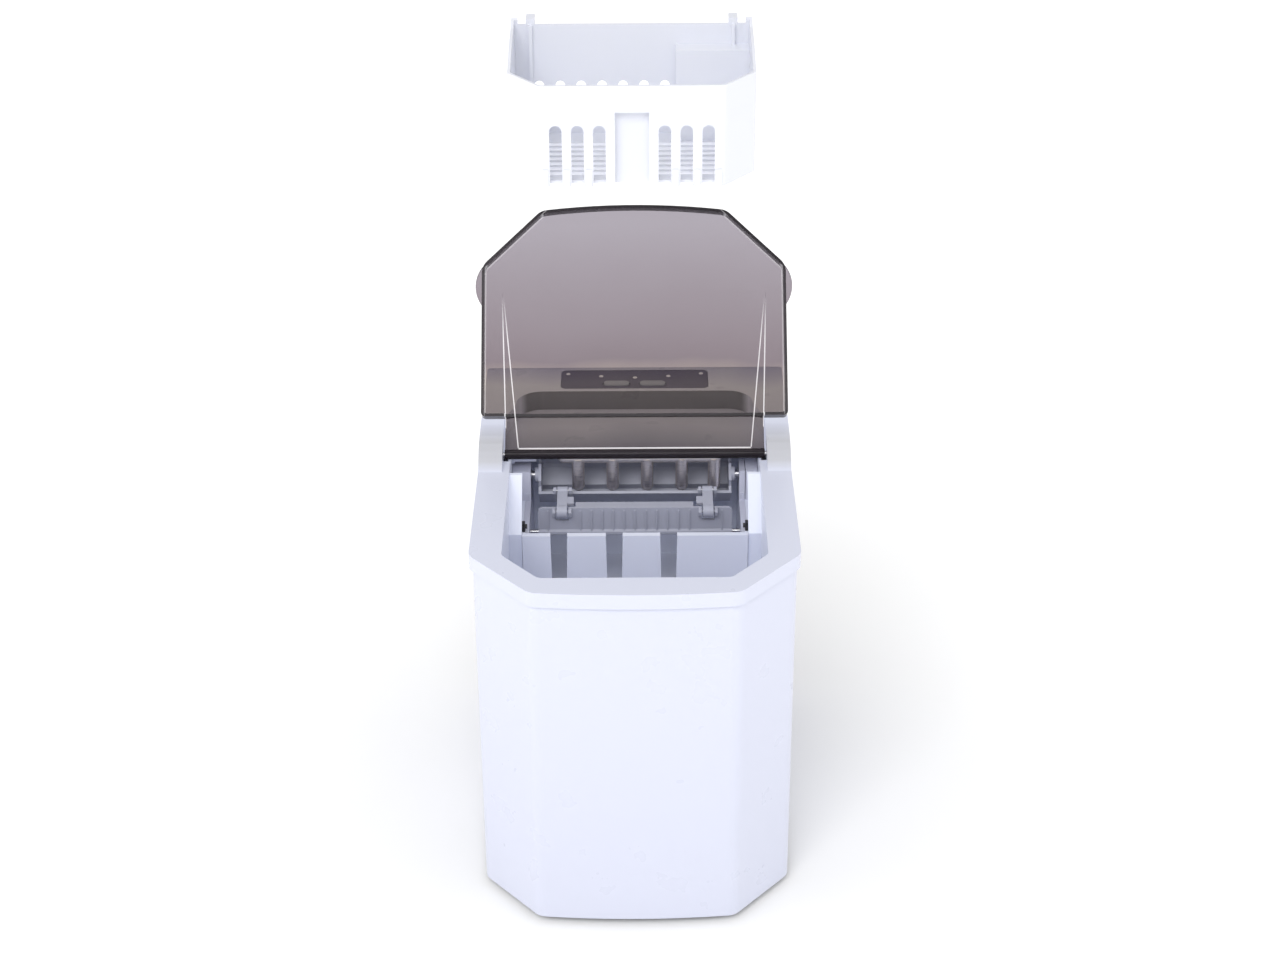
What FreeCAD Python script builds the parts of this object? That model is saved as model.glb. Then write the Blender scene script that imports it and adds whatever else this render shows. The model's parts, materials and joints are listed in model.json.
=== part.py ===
import FreeCAD, Part
import os
import math

# Bench-top ice maker.  Millimetres, +Z up, +X to the right of a person facing the front.
# Design datum: x = 0 on the centre plane, y = 0 at the front corners of the rim,
# z = 0 at the underside of the cabinet.  Every piece is moved to the row datum on export.

V = FreeCAD.Vector
X_AXIS = V(1, 0, 0)
Y_AXIS = V(0, 1, 0)
Z_AXIS = V(0, 0, 1)

# ---------------------------------------------------------------- driving dimensions
WIDTH = 242.0              # over the rim
FRONT_BOW = 4.0            # the front is slightly convex
REAR_Y = 331.0             # back of the cabinet
FOOT_HEIGHT = 5.0
ROW_ORIGIN_Y = 166.3       # middle of the depth with the lid leaning open
RIM_TOP = 293.5
RIM_SKIRT = 12.0
RIM_FLAT_HALF = 75.5
RIM_CHAMFER = 52.0
CONSOLE_TOP = 310.0
SKIN = 2.2                 # cabinet wall
BODY_HALF = 118.3
BODY_FLAT_HALF = 74.8
BODY_FRONT = 2.5
BODY_SIDE_CORNER = 52.0
CORNER_R = 14.0            # rounding of the chamfer corners, measured on the rim
BODY_REAR = REAR_Y - 2.6

OPEN_HALF = 97.0           # ice compartment opening
OPEN_FLAT_HALF = 69.5
OPEN_FRONT = 20.0
OPEN_SIDE_CORNER = 52.0
TANK_FLOOR = 60.0
SHELF_Z = 250.0
CHAMBER_FLOOR = 170.0
CHAMBER_HALF = 87.0
GUARD_Y = 141.0            # front face of the slotted ice guard
GUARD_TOP = 257.0
BEZEL_TOP_Y = 177.0        # where the leaning bezels meet the rim
LINER_REAR = 262.0
LINER_T = 2.2

HINGE_Y = 202.0            # lid hinge axis
HINGE_Z = 295.5
BEAD_R = 3.8               # hinge bead of the lid
HINGE_PIN_R = 1.9
LID_TOP = 306.0
LID_T = 2.6
LID_REST_DEG = 129.0       # the lid is stored leaning back this far from closed
LID_EXT_HALF = 101.4
POCKET_HALF = 102.6

BASKET_FRONT = 40.0
BASKET_SIDE_CORNER = 66.5
BASKET_REAR = 136.5
BASKET_BOTTOM = 179.0
BASKET_HALF = 82.0
BASKET_FLAT_HALF = 60.5
BASKET_T = 2.0
BASKET_FRONT_H = 69.5
BASKET_REAR_H = 80.0
BASKET_TIP_H = 84.0
BASKET_STEP_H = 66.0
BASKET_STEP_Y = 119.0
BASKET_STEP_X = 30.0
BASKET_HOOK_X = 69.0
BASKET_LIFT = 405.0        # the basket is stored lifted out by this much

TRAY_Y = 222.0             # tilt axis of the water tray
TRAY_Z = 266.5
TRAY_REST_DEG = 45.0       # stored tipped to harvest, level is -45
TRAY_HALF = 76.4
LINK_X = 57.0
LINK_B = (203.0, 262.5)    # link pin on the tray
LINK_C = (178.0, 257.5)    # link eye at the shovel
SHOVEL_Y = 182.0           # shovel hinge
SHOVEL_Z = 237.5
FINGER_Y = 217.0
FINGER_Z = 255.0
FINGER_R = 5.0
FINGER_X = (-44.8, -17.6, 9.7, 37.0, 62.6)
TUBE_Z = 284.0


# ---------------------------------------------------------------- small helpers
def box(x0, x1, y0, y1, z0, z1):
    return Part.makeBox(x1 - x0, y1 - y0, z1 - z0, V(x0, y0, z0))


def rod(start, axis, r, length):
    return Part.makeCylinder(r, length, V(*start), axis)


def rod_between(a, b, r):
    direction = V(*b) - V(*a)
    return Part.makeCylinder(r, direction.Length, V(*a), direction)


def ball(p, r):
    return Part.makeSphere(r, V(*p))


def prism(points, z0, z1):
    corners = [V(x, y, z0) for x, y in points]
    face = Part.Face(Part.makePolygon(corners + [corners[0]]))
    return face.extrude(V(0, 0, z1 - z0))


def side_prism(points, x0, x1):
    corners = [V(x0, y, z) for y, z in points]
    face = Part.Face(Part.makePolygon(corners + [corners[0]]))
    return face.extrude(V(x1 - x0, 0, 0))


def front_prism(points, y0, y1):
    corners = [V(x, y0, z) for x, z in points]
    face = Part.Face(Part.makePolygon(corners + [corners[0]]))
    return face.extrude(V(0, y1 - y0, 0))


def bent_tube(points, r):
    tube = rod_between(points[0], points[1], r)
    for i in range(1, len(points) - 1):
        tube = tube.fuse(ball(points[i], r))
        tube = tube.fuse(rod_between(points[i], points[i + 1], r))
    return tube.removeSplitter()


def fuse_all(shapes):
    result = shapes[0]
    for shape in shapes[1:]:
        result = result.fuse(shape)
    return result.removeSplitter()


def round_upright(solid, radius, keep):
    """Fillet the vertical edges whose midpoint passes the test keep(x, y)."""
    edges = []
    for edge in solid.Edges:
        a = edge.Vertexes[0].Point
        b = edge.Vertexes[-1].Point
        upright = abs(a.x - b.x) < 0.01 and abs(a.y - b.y) < 0.01 and abs(a.z - b.z) > 0.5
        if upright and keep(a.x, a.y):
            edges.append(edge)
    if not edges:
        return solid
    return solid.makeFillet(radius, edges)


def bowed_outline(half, flat_half, front, side_corner, rear, bow, z):
    """Plan outline with a bowed front, two chamfered front corners and a square back."""
    left = V(-flat_half, front, z)
    right = V(flat_half, front, z)
    middle = V(0, front - bow, z)
    path = [V(flat_half, front, z), V(half, side_corner, z), V(half, rear, z)]
    path += [V(-half, rear, z), V(-half, side_corner, z), left]
    edges = [Part.Arc(left, middle, right).toShape()]
    for i in range(len(path) - 1):
        edges.append(Part.makeLine(path[i], path[i + 1]))
    return Part.Face(Part.Wire(edges))


def bowed_block(half, flat_half, front, side_corner, rear, bow, z0, z1):
    face = bowed_outline(half, flat_half, front, side_corner, rear, bow, z0)
    return face.extrude(V(0, 0, z1 - z0))


def slot_along_x(cx, cz, length, height, y0, y1):
    r = height / 2.0
    half = length / 2.0 - r
    middle = box(cx - half, cx + half, y0, y1, cz - r, cz + r)
    left = rod((cx - half, y0, cz), Y_AXIS, r, y1 - y0)
    right = rod((cx + half, y0, cz), Y_AXIS, r, y1 - y0)
    return middle.fuse(left).fuse(right)


def slot_along_z(cx, z_low, z_high, width, y0, y1):
    r = width / 2.0
    middle = box(cx - r, cx + r, y0, y1, z_low + r, z_high - r)
    low = rod((cx, y0, z_low + r), Y_AXIS, r, y1 - y0)
    high = rod((cx, y0, z_high - r), Y_AXIS, r, y1 - y0)
    return middle.fuse(low).fuse(high)


def turned(shape, y, z, degrees):
    """Turn a copy about an axis along +X through (y, z)."""
    copy = shape.copy()
    copy.rotate(V(0, y, z), X_AXIS, degrees)
    return copy


def export(name, shape):
    """Move a piece from the design datum to the row datum and write it."""
    moved = shape.copy()
    moved.translate(V(0, -ROW_ORIGIN_Y, FOOT_HEIGHT))
    moved.exportStep("parts/" + name + ".step")


# ---------------------------------------------------------------- cabinet
def cabinet_ring():
    z0 = 0.6
    z1 = RIM_TOP - LINER_T - 3.5
    outer = bowed_block(BODY_HALF, BODY_FLAT_HALF, BODY_FRONT, BODY_SIDE_CORNER, BODY_REAR,
                        FRONT_BOW, z0, z1)
    outer = round_upright(outer, CORNER_R - 1.0, lambda x, y: y < 60.0)
    outer = round_upright(outer, 9.0, lambda x, y: y > 300.0)
    inner = bowed_block(BODY_HALF - SKIN, BODY_FLAT_HALF - 0.9, BODY_FRONT + SKIN,
                        BODY_SIDE_CORNER + 0.9, BODY_REAR - SKIN, FRONT_BOW, z0 - 1, z1 + 1)
    inner = round_upright(inner, CORNER_R - 2.0, lambda x, y: y < 60.0)
    inner = round_upright(inner, 6.8, lambda x, y: y > 300.0)
    return outer.cut(inner)


def vent_slots_side(side):
    """A block of upright air slots through one side wall."""
    cuts = []
    x0 = side * (BODY_HALF - 8.0)
    x1 = side * (BODY_HALF + 4.0)
    for row in range(3):
        for i in range(13):
            y = 206.0 + 7.5 * i
            z = 34.0 + 36.0 * row
            cuts.append(box(min(x0, x1), max(x0, x1), y, y + 3.4, z, z + 30.0))
    return Part.makeCompound(cuts)


def cabinet_shell():
    front = box(-200, 200, -50, 309.8, -5, 400)
    shell = cabinet_ring().common(front)
    shell = shell.cut(vent_slots_side(1.0))
    shell = shell.cut(vent_slots_side(-1.0))
    drain = rod((-BODY_HALF - 5, 96.0, 30.0), X_AXIS, 8.0, 20.0)
    return shell.cut(drain)


def rear_panel():
    back = box(-200, 200, 310.2, 400, -5, 400)
    panel = cabinet_ring().common(back)
    for row in range(11):
        for column in (-1, 0, 1):
            z = 40.0 + 9.0 * row
            slot = slot_along_x(30.0 + 46.0 * column, z, 40.0, 4.0, 320.0, 335.0)
            panel = panel.cut(slot)
    gland_hole = rod((-84.0, 320.0, 40.0), Y_AXIS, 7.0, 20.0)
    panel = panel.cut(gland_hole)
    for x in (-104.0, 104.0):
        for z in (24.0, 150.0, 272.0):
            panel = panel.cut(rod((x, 320.0, z), Y_AXIS, 1.9, 20.0))
    return panel


def cord_gland():
    body = rod((-84.0, BODY_REAR - 7.0, 40.0), Y_AXIS, 6.9, 9.5)
    flange = rod((-84.0, BODY_REAR, 40.0), Y_AXIS, 9.5, 2.0)
    lip = rod((-84.0, BODY_REAR - SKIN - 2.0, 40.0), Y_AXIS, 8.4, 2.0)
    bore = rod((-84.0, 315.0, 40.0), Y_AXIS, 3.6, 30.0)
    return fuse_all([body, flange, lip]).cut(bore)


def rear_screws():
    screws = []
    for x in (-104.0, 104.0):
        for z in (24.0, 150.0, 272.0):
            head = rod((x, BODY_REAR, z), Y_AXIS, 3.4, 1.8)
            shank = rod((x, 317.0, z), Y_AXIS, 1.5, BODY_REAR - 316.9)
            screw = head.fuse(shank)
            top = BODY_REAR + 0.9
            cross = box(x - 2.2, x + 2.2, top, top + 1.5, z - 0.4, z + 0.4)
            cross = cross.fuse(box(x - 0.4, x + 0.4, top, top + 1.5, z - 2.2, z + 2.2))
            screws.append(screw.cut(cross))
    return Part.makeCompound(screws)


def screw_posts():
    """Six blocks inside the back that the rear screws bite into."""
    posts = []
    for x in (-104.0, 104.0):
        for z in (24.0, 150.0, 272.0):
            block = box(x - 5.0, x + 5.0, 312.0, BODY_REAR - 1.0, z - 5.0, z + 5.0)
            posts.append(block.cut(rod((x, 300.0, z), Y_AXIS, 1.5, 40.0)))
    return posts


def base_pan():
    outer = bowed_block(BODY_HALF - SKIN - 0.4, BODY_FLAT_HALF - 1.2, BODY_FRONT + SKIN + 0.4,
                        BODY_SIDE_CORNER + 1.2, BODY_REAR - 2.8, FRONT_BOW, 0.0, 16.0)
    outer = round_upright(outer, CORNER_R - 2.2, lambda x, y: y < 60.0)
    outer = round_upright(outer, 6.2, lambda x, y: y > 300.0)
    inner = bowed_block(BODY_HALF - SKIN - 2.6, BODY_FLAT_HALF - 2.4, BODY_FRONT + SKIN + 2.6,
                        BODY_SIDE_CORNER + 2.4, BODY_REAR - 5.0, FRONT_BOW, 2.4, 20.0)
    pan = outer.cut(inner)
    for y in (110.0, 170.0):
        pan = pan.fuse(box(-100.0, 100.0, y, y + 3.0, 2.0, 9.0))
    for x in (-92.0, 92.0):
        for y in (48.0, 296.0):
            pan = pan.cut(rod((x, y, -2.0), Z_AXIS, 2.2, 6.0))
    return pan.removeSplitter()


def rubber_feet():
    feet = []
    for x in (-92.0, 92.0):
        for y in (48.0, 296.0):
            cone = Part.makeCone(9.0, 10.5, FOOT_HEIGHT, V(x, y, -FOOT_HEIGHT), Z_AXIS)
            stem = rod((x, y, -1.0), Z_AXIS, 2.15, 4.4)
            knob = rod((x, y, 2.4), Z_AXIS, 3.6, 2.0)
            foot = cone.fuse(stem).fuse(knob)
            dimple = rod((x, y, -FOOT_HEIGHT), Z_AXIS, 3.0, 1.2)
            feet.append(foot.cut(dimple))
    return Part.makeCompound(feet)


# ---------------------------------------------------------------- top cover
def opening_outline(grow, z0, z1, rear):
    points = [(-OPEN_FLAT_HALF - 0.35 * grow, OPEN_FRONT - grow),
              (OPEN_FLAT_HALF + 0.35 * grow, OPEN_FRONT - grow),
              (OPEN_HALF + grow, OPEN_SIDE_CORNER - 0.35 * grow),
              (OPEN_HALF + grow, rear),
              (-OPEN_HALF - grow, rear),
              (-OPEN_HALF - grow, OPEN_SIDE_CORNER - 0.35 * grow)]
    block = prism(points, z0, z1)
    return round_upright(block, 7.0 + grow, lambda x, y: y < 60.0)


def shoulder_profile():
    return [(150.0, 200.0), (177.0, RIM_TOP - 0.01), (181.0, 296.3), (186.0, 300.8), (191.0, 304.4),
            (198.0, 307.2), (208.0, 308.9), (224.0, 309.8), (240.0, CONSOLE_TOP),
            (322.0, CONSOLE_TOP), (326.6, 309.2), (329.4, 306.8), (REAR_Y, 302.5),
            (REAR_Y, 200.0)]


def pocket(depth_from, grow):
    """Sunken deck between the shoulders, with rounded rear corners."""
    w = POCKET_HALF + grow
    n = 94.5 + grow
    rear = 282.0 + grow
    points = [(-w, 150.0), (w, 150.0), (w, 238.0), (n, 258.0), (n, rear), (-n, rear), (-n, 258.0),
              (-w, 238.0)]
    block = prism(points, depth_from, 330.0)
    block = round_upright(block, 20.0 + grow, lambda x, y: y > 270.0)
    return round_upright(block, 12.0, lambda x, y: 230.0 < y < 265.0)


def outer_cover():
    rim = bowed_block(WIDTH / 2.0, RIM_FLAT_HALF, 0.0, RIM_CHAMFER, REAR_Y, FRONT_BOW,
                      RIM_TOP - RIM_SKIRT, CONSOLE_TOP + 5.0)
    rim = round_upright(rim, CORNER_R, lambda x, y: y < 60.0)
    rim = round_upright(rim, 10.0, lambda x, y: y > 300.0)
    low = box(-200, 200, -50, 400, 200.0, RIM_TOP)
    raised = side_prism(shoulder_profile(), -200.0, 200.0)
    hump = rim.common(low.fuse(raised))
    hump = hump.cut(pocket(RIM_TOP, 0.0))
    return hump


def inner_cover():
    """The hollow underside, one wall thickness inside the outer cover."""
    t = 2.5
    rim = bowed_block(BODY_HALF + 0.6, BODY_FLAT_HALF + 0.2, BODY_FRONT - 0.5, BODY_SIDE_CORNER + 0.1,
                      BODY_REAR + 0.4, FRONT_BOW, RIM_TOP - RIM_SKIRT - 1.0, CONSOLE_TOP)
    rim = round_upright(rim, CORNER_R - 1.2, lambda x, y: y < 60.0)
    rim = round_upright(rim, 8.0, lambda x, y: y > 300.0)
    low = box(-200, 200, -50, 400, 200.0, RIM_TOP - t)
    lowered = [(y + (0.8 if y < 300.0 else -t * 0.8), z - t) for y, z in shoulder_profile()]
    raised = side_prism(lowered, -200.0, 200.0)
    hollow = rim.common(low.fuse(raised))
    return hollow.cut(pocket(RIM_TOP - t, t))


def top_cover():
    cover = outer_cover().cut(inner_cover())
    cover = cover.cut(opening_outline(0.0, 250.0, 330.0, 208.5))
    notch = box(-POCKET_HALF, POCKET_HALF, 194.5, 208.5, 270.0, 330.0)
    cover = cover.cut(notch)
    # bosses that carry the lid hinge pins
    for side in (-1.0, 1.0):
        x0 = side * POCKET_HALF
        x1 = side * (POCKET_HALF + 8.0)
        boss = rod((min(x0, x1), HINGE_Y, HINGE_Z), X_AXIS, BEAD_R + 1.5, 8.0)
        cover = cover.fuse(boss)
        bore = rod((min(x0, x1) - 1.0, HINGE_Y, HINGE_Z), X_AXIS, HINGE_PIN_R + 0.06, 10.0)
        cover = cover.cut(bore)
    # shallow seat for the control panel, and the cut-outs below it
    seat = prism([(-60.0, 286.6), (60.0, 286.6), (60.0, 320.0), (-60.0, 320.0)], CONSOLE_TOP - 1.2, 330.0)
    seat = round_upright(seat, 5.0, lambda x, y: True)
    cover = cover.cut(seat)
    for x in KEY_X:
        cover = cover.cut(key_outline(x, 10.9, 4.4, 300.0, 330.0))
    for x, y in LED_POINTS:
        cover = cover.cut(rod((x, y, 300.0), Z_AXIS, 2.2, 20.0))
    return cover.removeSplitter()


# ---------------------------------------------------------------- control console
LED_POINTS = ((-54.2, 313.6), (-27.2, 309.2), (0.4, 306.6), (27.6, 309.2), (54.4, 313.6))
KEY_X = (-14.7, 14.7)
KEY_Y = 295.6


def key_outline(cx, half_x, half_y, z0, z1):
    """Pill shaped block."""
    r = half_y
    middle = box(cx - half_x + r, cx + half_x - r, KEY_Y - r, KEY_Y + r, z0, z1)
    left = rod((cx - half_x + r, KEY_Y, z0), Z_AXIS, r, z1 - z0)
    right = rod((cx + half_x - r, KEY_Y, z0), Z_AXIS, r, z1 - z0)
    return middle.fuse(left).fuse(right).removeSplitter()


def control_panel():
    plate = prism([(-59.6, 287.0), (59.6, 287.0), (59.6, 319.6), (-59.6, 319.6)],
                  CONSOLE_TOP - 1.2, CONSOLE_TOP - 0.2)
    plate = round_upright(plate, 4.6, lambda x, y: True)
    for x in KEY_X:
        plate = plate.cut(key_outline(x, 10.9, 4.4, 300.0, 330.0))
    for x, y in LED_POINTS:
        plate = plate.cut(rod((x, y, 300.0), Z_AXIS, 1.75, 20.0))
    return plate


def key(cx):
    cap = key_outline(cx, 10.4, 3.9, CONSOLE_TOP - 1.1, CONSOLE_TOP + 0.9)
    edges = [e for e in cap.Edges if e.BoundBox.ZMin > CONSOLE_TOP + 0.8]
    cap = cap.makeFillet(0.5, edges)
    stem = box(cx - 7.6, cx + 7.6, 293.6, 297.6, 303.6, CONSOLE_TOP - 1.0)
    return cap.fuse(stem).removeSplitter()


def indicator_lenses():
    lenses = []
    for x, y in LED_POINTS:
        lens = rod((x, y, 302.2), Z_AXIS, 1.7, CONSOLE_TOP - 302.2)
        lens = lens.fuse(rod((x, y, 302.2), Z_AXIS, 2.6, 1.4))
        lenses.append(lens)
    return Part.makeCompound(lenses)


def control_board():
    board = box(-64.0, 64.0, 285.6, 321.0, 299.0, 300.6)
    parts = [board]
    for x in KEY_X:
        parts.append(box(x - 3.0, x + 3.0, KEY_Y - 3.0, KEY_Y + 3.0, 300.6, 302.0))
    for x, y in LED_POINTS:
        parts.append(box(x - 2.0, x + 2.0, y - 2.0, y + 2.0, 300.6, 302.0))
    parts.append(box(-58.0, -40.0, 292.0, 306.0, 294.0, 299.0))
    parts.append(box(30.0, 56.0, 290.0, 302.0, 292.0, 299.0))
    parts.append(rod((0.0, 312.0, 286.0), Z_AXIS, 5.0, 13.0))
    return fuse_all(parts)


# ---------------------------------------------------------------- lid
LID_REAR = 171.6
LID_HALF = 120.3
CREASE_Y = 70.0


def lid_outline(inset, z0, z1):
    face = bowed_outline(LID_HALF - inset, 73.5 - 0.35 * inset, 5.0 + inset, 50.0 + 0.35 * inset,
                         LID_REAR - inset, 4.4, z0)
    block = face.extrude(V(0, 0, z1 - z0))
    block = round_upright(block, 13.0 - inset, lambda x, y: y < 60.0)
    return round_upright(block, 3.6 - 0.4 * inset, lambda x, y: y > 160.0)


def panel_section(y, x_outer, x_inner, z_outer, z_inner):
    """Closed cross-section of the dished middle panel at one y."""
    t = LID_T
    top = [(-x_outer, z_outer), (-x_inner, z_inner), (x_inner, z_inner), (x_outer, z_outer)]
    under = [(x_outer, z_outer - t), (x_inner - 0.9, z_inner - t), (-x_inner + 0.9, z_inner - t),
             (-x_outer, z_outer - t)]
    corners = [V(x, y, z) for x, z in top + under]
    return Part.makePolygon(corners + [corners[0]])


def lid_closed():
    skirt_bottom = LID_TOP - 11.0
    outer = lid_outline(0.0, skirt_bottom, LID_TOP)
    hollow = lid_outline(2.3, skirt_bottom - 1.0, LID_TOP - LID_T)
    shell = outer.cut(hollow)
    # the middle panel dips towards the hinge between two creases
    x_front = 104.6
    x_rear = 101.4
    window = prism([(-x_front, CREASE_Y), (x_front, CREASE_Y), (x_rear, LID_REAR + 5.0),
                    (-x_rear, LID_REAR + 5.0)], skirt_bottom - 5.0, LID_TOP + 5.0)
    shell = shell.cut(window)
    first = panel_section(CREASE_Y, x_front, x_front - 0.8, LID_TOP, LID_TOP - 0.04)
    second = panel_section(LID_REAR, x_rear, 93.5, LID_TOP, LID_TOP - 5.2)
    third = panel_section(HINGE_Y - 1.0, x_rear, 90.5, 300.2, 299.6)
    panel = Part.makeLoft([first, second], True, True)
    tail = Part.makeLoft([second, third], True, True)
    rail = box(-x_rear, x_rear, LID_REAR - 2.3, LID_REAR, LID_TOP - 8.6, LID_TOP - 6.4)
    bead = rod((-LID_EXT_HALF, HINGE_Y, HINGE_Z), X_AXIS, BEAD_R, 2.0 * LID_EXT_HALF)
    lid = fuse_all([shell, panel, tail, rail, bead])
    # rounded finger tabs on both edges
    for side in (-1.0, 1.0):
        centre_x = side * (LID_HALF - 20.9)
        disc = rod((centre_x, 66.0, LID_TOP - 7.5), Z_AXIS, 26.0, 2.4)
        clip = box(min(side * 119.0, side * 126.0), max(side * 119.0, side * 126.0), 30.0, 100.0,
                   280.0, 320.0)
        lid = lid.fuse(disc.common(clip))
    for side in (-1.0, 1.0):
        x0 = min(side * 82.0, side * 106.0)
        lid = lid.cut(rod((x0, HINGE_Y, HINGE_Z), X_AXIS, HINGE_PIN_R, 24.0))
    return lid.removeSplitter()


def hinge_pins():
    pins = []
    for side in (-1.0, 1.0):
        x0 = min(side * 82.0, side * 109.6)
        pins.append(rod((x0, HINGE_Y, HINGE_Z), X_AXIS, HINGE_PIN_R, 27.6))
    return Part.makeCompound(pins)


# ---------------------------------------------------------------- liner and ice guard
def inner_liner():
    top = RIM_TOP - 2.5
    outer_front = opening_outline(LINER_T, TANK_FLOOR - LINER_T, top, GUARD_Y + 5.0)
    outer_top = box(-OPEN_HALF - LINER_T, OPEN_HALF + LINER_T, 100.0, LINER_REAR + LINER_T,
                    SHELF_Z - LINER_T, top)
    outer_chamber = box(-CHAMBER_HALF - LINER_T, CHAMBER_HALF + LINER_T, 120.0, LINER_REAR + LINER_T,
                        CHAMBER_FLOOR - LINER_T, SHELF_Z)
    outer = outer_front.fuse(outer_top).fuse(outer_chamber)
    inner_front = opening_outline(0.0, TANK_FLOOR, top + 5.0, GUARD_Y + 2.8)
    inner_top = box(-OPEN_HALF, OPEN_HALF, 100.0, LINER_REAR, SHELF_Z, top + 5.0)
    inner_chamber = box(-CHAMBER_HALF, CHAMBER_HALF, 120.0, LINER_REAR, CHAMBER_FLOOR, SHELF_Z + 5.0)
    liner = outer.cut(inner_front).cut(inner_top).cut(inner_chamber)
    # bezels that frame the harvest chamber: upright beside the guard, then leaning back to the rim
    front = GUARD_Y + 2.8
    lean = [(front, SHELF_Z - LINER_T), (front, GUARD_TOP), (BEZEL_TOP_Y, top), (BEZEL_TOP_Y + 3.2, top),
            (front + 2.2, GUARD_TOP - 0.9), (front + 2.2, SHELF_Z - LINER_T)]
    for side in (-1.0, 1.0):
        x0 = min(side * CHAMBER_HALF, side * (OPEN_HALF + 0.2))
        liner = liner.fuse(side_prism(lean, x0, x0 + OPEN_HALF + 0.2 - CHAMBER_HALF))
    # the hinge bead of the lid passes over the side walls
    liner = liner.cut(box(-120, 120, 194.0, 210.0, 287.5, 300.0))
    # passages for the evaporator tube and the water spout
    for x in (-62.0, 70.0):
        liner = liner.cut(rod((x, 255.0, TUBE_Z), Y_AXIS, 5.0, 20.0))
    liner = liner.cut(rod((-110.0, 224.0, 281.5), X_AXIS, 4.0, 20.0))
    liner = liner.cut(rod((55.0, 70.0, TANK_FLOOR - 5.0), Z_AXIS, 5.0, 10.0))
    liner = liner.cut(rod((-70.0, 96.0, TANK_FLOOR - 5.0), Z_AXIS, 5.0, 10.0))
    return liner.removeSplitter()


def ice_guard():
    """Upright comb between the ice compartment and the harvest chamber."""
    y0 = GUARD_Y
    y1 = GUARD_Y + 2.5
    half = CHAMBER_HALF - 0.4
    plate = box(-half, half, y0, y1, CHAMBER_FLOOR, GUARD_TOP)
    lip = box(-half, half, y0 + 2.0, y0 + 5.0, GUARD_TOP - 3.0, GUARD_TOP)
    guard = plate.fuse(lip)
    for x in (-58.6, -16.0, 25.8):
        taper = front_prism([(x - 5.0, 178.0), (x + 5.0, 178.0), (x + 6.6, 262.0), (x - 6.6, 262.0)],
                            y0 - 2.0, y1 + 6.0)
        guard = guard.cut(taper)
        for side in (-1.0, 1.0):
            edge = x + side * 7.6
            guard = guard.fuse(box(edge - 0.8, edge + 0.8, y1 - 0.2, y1 + 7.0, 200.0, 254.5))
    for side in (-1.0, 1.0):
        x = side * (CHAMBER_HALF - 1.4)
        guard = guard.fuse(box(x - 1.0, x + 1.0, y1 - 0.2, y1 + 8.0, 180.0, 254.5))
    return guard.removeSplitter()


# ---------------------------------------------------------------- ice basket
def basket_outline(inset, z0, z1):
    side_y = BASKET_SIDE_CORNER + 0.35 * inset
    flat = BASKET_FLAT_HALF - 0.35 * inset
    half = BASKET_HALF - inset
    rear = BASKET_REAR - inset
    points = [(-flat, BASKET_FRONT + inset), (flat, BASKET_FRONT + inset), (half, side_y),
              (half, rear), (-half, rear), (-half, side_y)]
    block = prism(points, z0, z1)
    return round_upright(block, 4.0 - 0.8 * inset, lambda x, y: y < BASKET_SIDE_CORNER + 5.0)


def basket_rim_cutter(z0):
    """Everything above the rim: low at the front, swept up along both sides."""
    rise = [(-26.5, 0.0), (0.0, 0.0), (5.5, 0.9), (13.5, 3.0), (23.5, 6.0), (35.5, 8.4),
            (47.5, 9.8), (59.5, 10.5), (70.0, BASKET_TIP_H - BASKET_FRONT_H)]
    top = z0 + BASKET_FRONT_H
    edge = [(BASKET_SIDE_CORNER + y, top + z) for y, z in rise]
    above = top + 40.0
    return side_prism([(-10.0, top)] + edge + [(150.0, edge[-1][1]), (150.0, above), (-10.0, above)],
                      -200.0, 200.0)


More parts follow.
